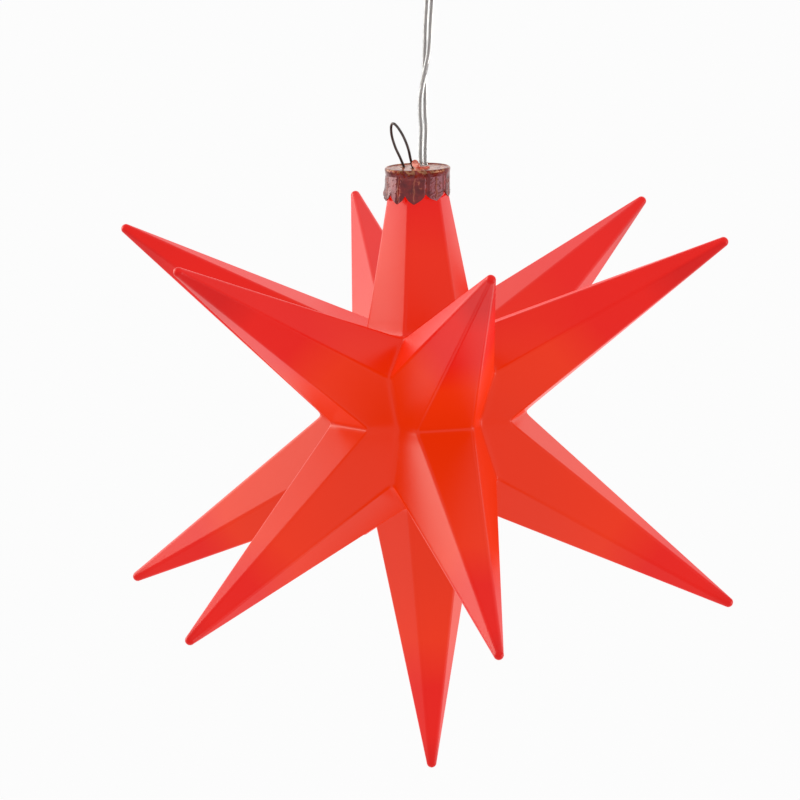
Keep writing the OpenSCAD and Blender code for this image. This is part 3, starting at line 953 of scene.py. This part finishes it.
def make_cap():
    cap = bpy.context.scene.cap_settings
    bm = bmesh.new()
    lathe(bm, [(r, CAP_TOP - z) for r, z in cap_section()], steps=480)
    hole = bmesh.new()
    bmesh.ops.create_cone(
        hole, cap_ends=True, segments=48, radius1=2.15, radius2=2.15, depth=4,
        matrix=Matrix.Translation((1.3, 1.4, CAP_TOP)),
    )
    slots = []
    for s in (-1, 1):
        slot = bmesh.new()
        bmesh.ops.create_cube(
            slot, size=1.0,
            matrix=Matrix.Translation((-3.1 + s * 2.25, -1.25, CAP_TOP))
            @ Matrix.Diagonal((cap.wire + 0.3, 2.9, 2.0, 1)),
        )
        slots.append(slot)
    carve(bm, [hole, *slots])
    for cutter in [hole, *slots]:
        cutter.free()
    right, toward, up = seen_from()
    start = math.atan2(toward.y, toward.x)
    tones, lines = [], []
    for v in bm.verts:
        radius = math.hypot(v.co.x, v.co.y)
        down = (CAP_TOP - v.co.z) / cap.height
        tone, line = 1.0, 0.0
        if radius > cap.hem_radius - 1.7 and down > 0.03:
            angle = math.degrees(math.atan2(v.co.y, v.co.x) - start)
            at_lobe = lobe_place(angle)
            t = 2 * abs(at_lobe - round(at_lobe))
            fall = min(1.0, max(0.0, down - 0.05) / 0.14)
            own = cap.hem_radius - 0.55 + 0.55 * down
            outer = radius > own - 0.7 * cap.sheet
            pressed, near = fold(angle, own)
            change = fall * pressed
            if outer:
                relief, line = emboss(at_lobe, down, v.co)
                change += relief
            notch = NOTCH * (0.6 * t + 0.4 * t ** 4)
            lift = notch + np.interp(at_lobe, range(len(SHORTS)), SHORTS)
            flat = Vector((v.co.x, v.co.y, 0)) / radius
            v.co += change * flat - SHIFT * down * right
            v.co.z += float(lift) * max(0.0, (down - 0.5) / 0.5) ** 1.3
            # tone: 1 on the rim and top, falling to 0 down the skirt; near a crease about 0.5, for
            # painted shade and a painted red reflection in the crease; on the front lobes the top's
            # brown and its painted glow reach further down.
            front = BROWN_FRONT[0] < (angle + 180) % 360 - 180 < BROWN_FRONT[1]
            bend = min(1.0, max(0.0, down - 0.03) / (0.26 if front else 0.12))
            tone = max(1 - bend, 0.5 * fall * max(0.0, near - 0.6) / 0.4)
        elif radius < cap.hem_radius - 1.6 and abs(v.co.z - CAP_TOP) < 1e-4:
            v.co.z -= 0.06 + 0.10 * noise.noise(v.co * 0.9)
        tones.append(min(1.0, tone))
        lines.append(line)
    piece = piece_from("crown_cap", bm, cap_copper())
    for name, values in (("tone", tones), ("line", lines)):
        piece.data.attributes.new(name, "FLOAT", "POINT").data.foreach_set("value", values)
    assign(piece, "hanger", "cap_copper", "cap")


LOOP_HALF = (
    (0.95, -1.3), (1.75, -1.25), (2.25, -0.7), (2.25, 0.0), (2.6, 3.6),
    (3.25, 7.6), (3.05, 11.8), (2.05, 15.0), (0.9, 16.7), (0.0, 17.05),
)


def make_loop():
    cap = bpy.context.scene.cap_settings
    half = [Vector((x, 0, z)) for x, z in LOOP_HALF]
    back = [Vector((-p.x, 0, p.z)) for p in reversed(half[:-1])]
    lean = Matrix.Rotation(cap.lean, 4, "X")
    seat = Matrix.Translation((-3.1, -1.25, CAP_TOP - cap.sheet / 2))
    path = [seat @ lean @ p for p in smooth_route(half + back, 6)]
    bm = bmesh.new()
    side = lean @ Vector((0, 1, 0))
    sweep(bm, path, cap.wire / 2, 16, side=side, first=(1, 0, 0), last=(1, 0, 0))
    bmesh.ops.recalc_face_normals(bm, faces=bm.faces)
    assign(piece_from("wire_loop", bm, loop_wire(), sharp=math.radians(60)),
           "loop", "loop_wire", "cap_loop")


def make_grommet():
    """Soft collar round the lead, with a round bead on one side"""
    bm = bmesh.new()
    lathe(bm, [
        (1.7, CAP_TOP - 1.2), (2.35, CAP_TOP - 1.2), (2.08, CAP_TOP - 0.4), (2.08, CAP_TOP),
        (2.3, CAP_TOP), (2.25, CAP_TOP + 0.25), (2.1, CAP_TOP + 0.45), (1.9, CAP_TOP + 0.58),
        (1.75, CAP_TOP + 0.55), (1.7, CAP_TOP + 0.45),
    ], steps=64, rounding=0.06, shift=(1.3, 1.4, 0))
    right, toward, up = seen_from()
    bead_at = Vector((1.3, 1.4, CAP_TOP + 1.6)) - 2.75 * right + 1.2 * toward
    bead = bmesh.new()
    bmesh.ops.create_icosphere(
        bead, subdivisions=4, radius=1.2,
        matrix=Matrix.Translation(bead_at) @ Matrix.Diagonal((1, 1, 1.1, 1)))
    bridge = bmesh.new()
    bmesh.ops.create_icosphere(
        bridge, subdivisions=4, radius=0.9,
        matrix=Matrix.Translation(bead_at + 0.7 * right - 0.3 * toward - 0.8 * up)
        @ Matrix.Diagonal((1.1, 1.1, 1.2, 1)))
    carve(bm, [bead, bridge], "UNION")
    bead.free()
    bridge.free()
    # Painted glow: a faint red emission stands in for the star's light in the clear grommet.
    f = Finish("grommet")
    f.set(
        Base_Color=f.ramp(f.noise(500.0), (0.35, (0.82, 0.22, 0.15)), (0.65, (0.95, 0.52, 0.42))),
        Transmission_Weight=0.8, IOR=1.4, Roughness=0.15,
        Emission_Color=(0.40, 0.06, 0.03, 1.0), Emission_Strength=0.2,
    )
    f.bump(f.noise(1200.0), 0.1, 0.0002)
    piece = piece_from("clear_grommet", bm, f.material)
    assign(piece, "hanger", "grommet", "cord_grommet")


# The lead

LEAD_ROUTE = (
    (0, 0, -24.5), (0, 0, -29), (0, 0, -34), (0, 0, -39), (-0.2, -0.3, -44),
    (-0.5, -0.6, -49), (-0.7, -0.8, -54), (-1, -1.1, -59), (-1.4, -1.6, -64),
    (-1.8, -2, -69), (-2.1, -2.3, -74), (-2.2, -2.4, -79), (-2, -2.3, -84),
    (-2.2, -2.4, -88.5), (-2.3, -2.6, -92.5), (-2.3, -2.6, -96.4),
)
TOP_ROUTE = (
    (0, 0, -24.5), (0, 0, -20), (0, 0, -15), (0, 0.95, -11),
    (0, 3.5, -8.1), (0, 6.2, -7.1), (0, 8, -7), (0, 10, -7), (0, 13, -7),
)


# The lead's twist is uneven: height in mm, and degrees of turn from the
# camera's right towards the camera.
TWIST = (
    (-97.0, 193), (-86.0, 188), (-77.0, 174), (-73.0, 150), (-69.0, 115), (-64.5, 80),
    (-60.0, 48), (-54.0, 20), (-41.0, -5), (-32.0, -40), (-24.5, -80),
)


def strand_paths(route, steps):
    """Centre lines of the two strands that wind round a route"""
    lead = bpy.context.scene.lead_settings
    right, toward, up = seen_from()
    heights, turns = zip(*TWIST)
    path = smooth_route(route, steps)
    gone, strands = 0.0, ([], [])
    for i, p in enumerate(path):
        if i:
            gone += (p - path[i - 1]).length
        degrees = np.interp(p.z, heights, turns)
        if p.z >= heights[-1]:
            degrees -= 360 * gone / lead.pitch
        a = math.radians(float(degrees))
        tangent = path_frame(path, i, Vector((1, 0, 0))).col[2].to_3d()
        out = math.cos(a) * right + math.sin(a) * toward
        out = (out - out.dot(tangent) * tangent).normalized() * (lead.strand / 2 + 0.01)
        strands[0].append(p + out)
        strands[1].append(p - out)
    return strands


def make_lead():
    lead = bpy.context.scene.lead_settings
    clear = soft_clear("lead_clear", (0.93, 0.93, 0.92), 0.08, 0.88)
    core = moulded("lead_core", (0.33, 0.31, 0.30))
    made = {}
    for name, route, steps in (("lead", LEAD_ROUTE, 8), ("lead_in_rose", TOP_ROUTE, 6)):
        for part, radius, material in (
            ("sheath", lead.strand / 2, clear), ("core", lead.strand / 5.4, core),
        ):
            bm = bmesh.new()
            for strand in strand_paths(route, steps):
                sweep(bm, strand, radius, 16)
            bmesh.ops.recalc_face_normals(bm, faces=bm.faces)
            made[name, part] = piece_from(
                f"{name}_{part}", bm, material, at=Vector((0, 0, 0)), sharp=math.radians(60))
    assign(made["lead", "sheath"], "hanger", "lead_clear", "cord")
    assign(made["lead", "core"], "hanger", "lead_clear")
    assign(made["lead_in_rose", "sheath"], "hanger", "lead_clear", "cord_top")
    assign(made["lead_in_rose", "core"], "hanger", "lead_clear")


# Carried solids that only need a finish

def finish_nodes():
    white = moulded("rose_white", (0.86, 0.86, 0.84), (0.18, 0.26))
    clear = bpy.data.materials["lead_clear"]
    looks = {
        "lamp_plug": moulded("lamp_white", (0.86, 0.85, 0.80)),
        "cord_stop": plated("crimp", (0.70, 0.71, 0.72)),
        "lamp_cord": clear, "lamp_wires": clear,
        "lamp_tube": milky_tube(),
        "led_board": moulded("board", (0.82, 0.82, 0.78)),
        "leds": lit("led", (1.0, 0.75, 0.40), 4.0, (0.9, 0.75, 0.35)),
        "led_resistor": moulded("resistor", (0.04, 0.04, 0.045)),
        "ceiling_plate": white, "cord_bridge": white, "cover": white,
        "terminal_block": moulded("block", (0.76, 0.75, 0.70)),
        "terminal_screws": plated("terminal_brass", (0.72, 0.56, 0.28)),
        "fitting_screws": plated("steel", (0.62, 0.63, 0.64)),
        "cover_bush": moulded("bush", (0.83, 0.83, 0.80)),
        "bush_nut": moulded("bush_nut", (0.83, 0.83, 0.80)),
    }
    for node, material in looks.items():
        data = frame["nodes"][node].data
        data.materials.clear()
        data.materials.append(material)


# Camera, light and stage

def seen_from():
    """The camera's right, its level line towards the star, and up"""
    stage = bpy.context.scene.stage_settings
    a = stage.camera_round
    toward_camera = Vector((math.sin(a), -math.cos(a), 0))
    return Vector((math.cos(a), math.sin(a), 0)), toward_camera, Vector((0, 0, 1))


def make_camera():
    stage = bpy.context.scene.stage_settings
    right, toward, up = seen_from()
    reach = 0.125
    e = stage.camera_height
    place = STAR_CENTRE + stage.camera_distance * (math.cos(e) * toward + math.sin(e) * up)
    aim = STAR_CENTRE - 0.0629 * reach * right + 0.0381 * reach * up
    forward = (aim - place).normalized()
    side = forward.cross(up).normalized()
    over = side.cross(forward)
    c, s = math.cos(stage.camera_roll), math.sin(stage.camera_roll)
    x, y = c * side + s * over, c * over - s * side
    data = bpy.data.cameras.new("camera")
    data.lens, data.sensor_width = stage.lens, 36.0
    data.clip_start, data.clip_end = 0.05, 200.0
    camera = bpy.data.objects.new("camera", data)
    camera.matrix_world = Matrix.Translation(place) @ Matrix((x, y, -forward)).transposed().to_4x4()
    bpy.context.scene.collection.objects.link(camera)
    bpy.context.scene.camera = camera


def area_light(name, way, distance, size, radiance, colour=(1, 1, 1), gloss=True):
    """Round soft lamp; way is right, towards the camera and up"""
    right, toward, up = seen_from()
    at = STAR_CENTRE + distance * (way[0] * right + way[1] * toward + way[2] * up).normalized()
    data = bpy.data.lights.new(name, "AREA")
    data.shape, data.size, data.color = "DISK", size, colour
    data.energy = radiance * math.pi * math.pi * size ** 2 / 4
    light = bpy.data.objects.new(name, data)
    light.location = at
    light.rotation_mode = "QUATERNION"
    light.rotation_quaternion = (STAR_CENTRE - at).to_track_quat("-Z", "Y")
    light.visible_glossy = gloss
    bpy.context.scene.collection.objects.link(light)


def white_to_camera(tree):
    """Share of the white background: full for the camera, in gloss and through glass"""
    path = tree.nodes.new("ShaderNodeLightPath")
    first = tree.nodes.new("ShaderNodeMath")
    second = tree.nodes.new("ShaderNodeMath")
    first.operation = second.operation = "MAXIMUM"
    tree.links.new(path.outputs["Is Camera Ray"], first.inputs[0])
    tree.links.new(path.outputs["Is Glossy Ray"], first.inputs[1])
    tree.links.new(first.outputs[0], second.inputs[0])
    tree.links.new(path.outputs["Is Transmission Ray"], second.inputs[1])
    return second.outputs[0]


def make_world():
    """White background for the camera, in gloss and through glass; softer light for the rest"""
    world = bpy.data.worlds.new("studio")
    bpy.context.scene.world = world
    world.use_nodes = True
    tree = world.node_tree
    plain = tree.nodes["Background"]
    plain.inputs["Color"].default_value = (1, 1, 1, 1)
    plain.inputs["Strength"].default_value = 0.35
    bright = tree.nodes.new("ShaderNodeBackground")
    bright.inputs["Color"].default_value = (1, 1, 1, 1)
    bright.inputs["Strength"].default_value = 1.0
    mix = tree.nodes.new("ShaderNodeMixShader")
    tree.links.new(white_to_camera(tree), mix.inputs["Fac"])
    tree.links.new(plain.outputs[0], mix.inputs[1])
    tree.links.new(bright.outputs[0], mix.inputs[2])
    tree.links.new(mix.outputs[0], tree.nodes["World Output"].inputs["Surface"])


def make_floor():
    bm = bmesh.new()
    bmesh.ops.create_grid(bm, x_segments=1, y_segments=1, size=60.0)
    mesh = bpy.data.meshes.new("floor")
    bm.to_mesh(mesh)
    bm.free()
    floor = bpy.data.objects.new("floor", mesh)
    floor.location = (0, 0, -1.2)
    bpy.context.scene.collection.objects.link(floor)
    material = bpy.data.materials.new("floor")
    material.use_nodes = True
    tree = material.node_tree
    shader = tree.nodes["Principled BSDF"]
    shader.inputs["Base Color"].default_value = (0.9, 0.9, 0.9, 1)
    shader.inputs["Roughness"].default_value = 0.9
    white = tree.nodes.new("ShaderNodeEmission")
    white.inputs["Strength"].default_value = 1.0
    mix = tree.nodes.new("ShaderNodeMixShader")
    share = tree.nodes.new("ShaderNodeMath")
    share.operation = "MULTIPLY"
    share.inputs[1].default_value = 0.96
    tree.links.new(white_to_camera(tree), share.inputs[0])
    tree.links.new(share.outputs[0], mix.inputs["Fac"])
    tree.links.new(shader.outputs[0], mix.inputs[1])
    tree.links.new(white.outputs[0], mix.inputs[2])
    tree.links.new(mix.outputs[0], tree.nodes["Material Output"].inputs["Surface"])
    mesh.materials.append(material)


# Operators, one for each piece or group

class STAR_OT_stage(bpy.types.Operator):
    """Camera, soft light, white background and floor"""

    bl_idname = "starlight.stage"
    bl_label = "Stage"

    def execute(self, context):
        context.scene.view_settings.view_transform = "Standard"
        make_camera()
        make_world()
        make_floor()
        area_light("key", (-0.88, -0.35, 0.30), 1.6, 1.5, 4.5, (1.0, 0.96, 0.86))
        area_light("fill", (0.60, 0.50, 0.60), 1.6, 0.7, 0.8)
        area_light("front", (0.20, 1.00, 0.60), 1.6, 1.2, 1.5, gloss=False)
        area_light("side", (0.97, 0.15, -0.19), 1.6, 1.0, 3.3)
        return {"FINISHED"}


class STAR_OT_lead(bpy.types.Operator):
    """Twisted pair of clear strands, down from the rose to the cap"""

    bl_idname = "starlight.lead"
    bl_label = "Lead"

    def execute(self, context):
        make_lead()
        return {"FINISHED"}


class STAR_OT_star(bpy.types.Operator):
    """Fourteen hollow points, mitred together"""

    bl_idname = "starlight.star"
    bl_label = "Star"

    def execute(self, context):
        make_star()
        return {"FINISHED"}


class STAR_OT_cap(bpy.types.Operator):
    """Pressed crown cap with its clear grommet"""

    bl_idname = "starlight.cap"
    bl_label = "Cap"

    def execute(self, context):
        make_cap()
        make_grommet()
        return {"FINISHED"}


class STAR_OT_loop(bpy.types.Operator):
    """Wire loop that tilts in the cap"""

    bl_idname = "starlight.loop"
    bl_label = "Wire loop"

    def execute(self, context):
        make_loop()
        return {"FINISHED"}


class STAR_OT_fittings(bpy.types.Operator):
    """Finishes of the lamp and of the ceiling rose"""

    bl_idname = "starlight.fittings"
    bl_label = "Lamp and rose"

    def execute(self, context):
        finish_nodes()
        return {"FINISHED"}


class STAR_PT_panel(bpy.types.Panel):
    """Buttons that build each group"""

    bl_label = "Star light"
    bl_idname = "STAR_PT_panel"
    bl_space_type = "VIEW_3D"
    bl_region_type = "UI"
    bl_category = "Star light"

    def draw(self, context):
        scene = context.scene
        for settings in (scene.star_settings, scene.cap_settings, scene.lead_settings,
                         scene.stage_settings):
            for name in settings.__annotations__:
                self.layout.prop(settings, name)
        for step in STEPS:
            self.layout.operator(step.bl_idname)


SETTINGS = {
    "star_settings": StarSettings, "cap_settings": CapSettings,
    "lead_settings": LeadSettings, "stage_settings": StageSettings,
}
STEPS = (
    STAR_OT_stage, STAR_OT_lead, STAR_OT_star, STAR_OT_cap, STAR_OT_loop, STAR_OT_fittings,
)


def register():
    for name, kind in SETTINGS.items():
        bpy.utils.register_class(kind)
        setattr(bpy.types.Scene, name, PointerProperty(type=kind))
    for step in STEPS:
        bpy.utils.register_class(step)
    bpy.utils.register_class(STAR_PT_panel)


def unregister():
    bpy.utils.unregister_class(STAR_PT_panel)
    for step in reversed(STEPS):
        bpy.utils.unregister_class(step)
    for name, kind in SETTINGS.items():
        delattr(bpy.types.Scene, name)
        bpy.utils.unregister_class(kind)


def main():
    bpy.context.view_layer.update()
    register()
    bpy.ops.starlight.stage()
    bpy.ops.starlight.lead()
    bpy.ops.starlight.star()
    bpy.ops.starlight.cap()
    bpy.ops.starlight.loop()
    bpy.ops.starlight.fittings()


if __name__ == "__main__":
    main()
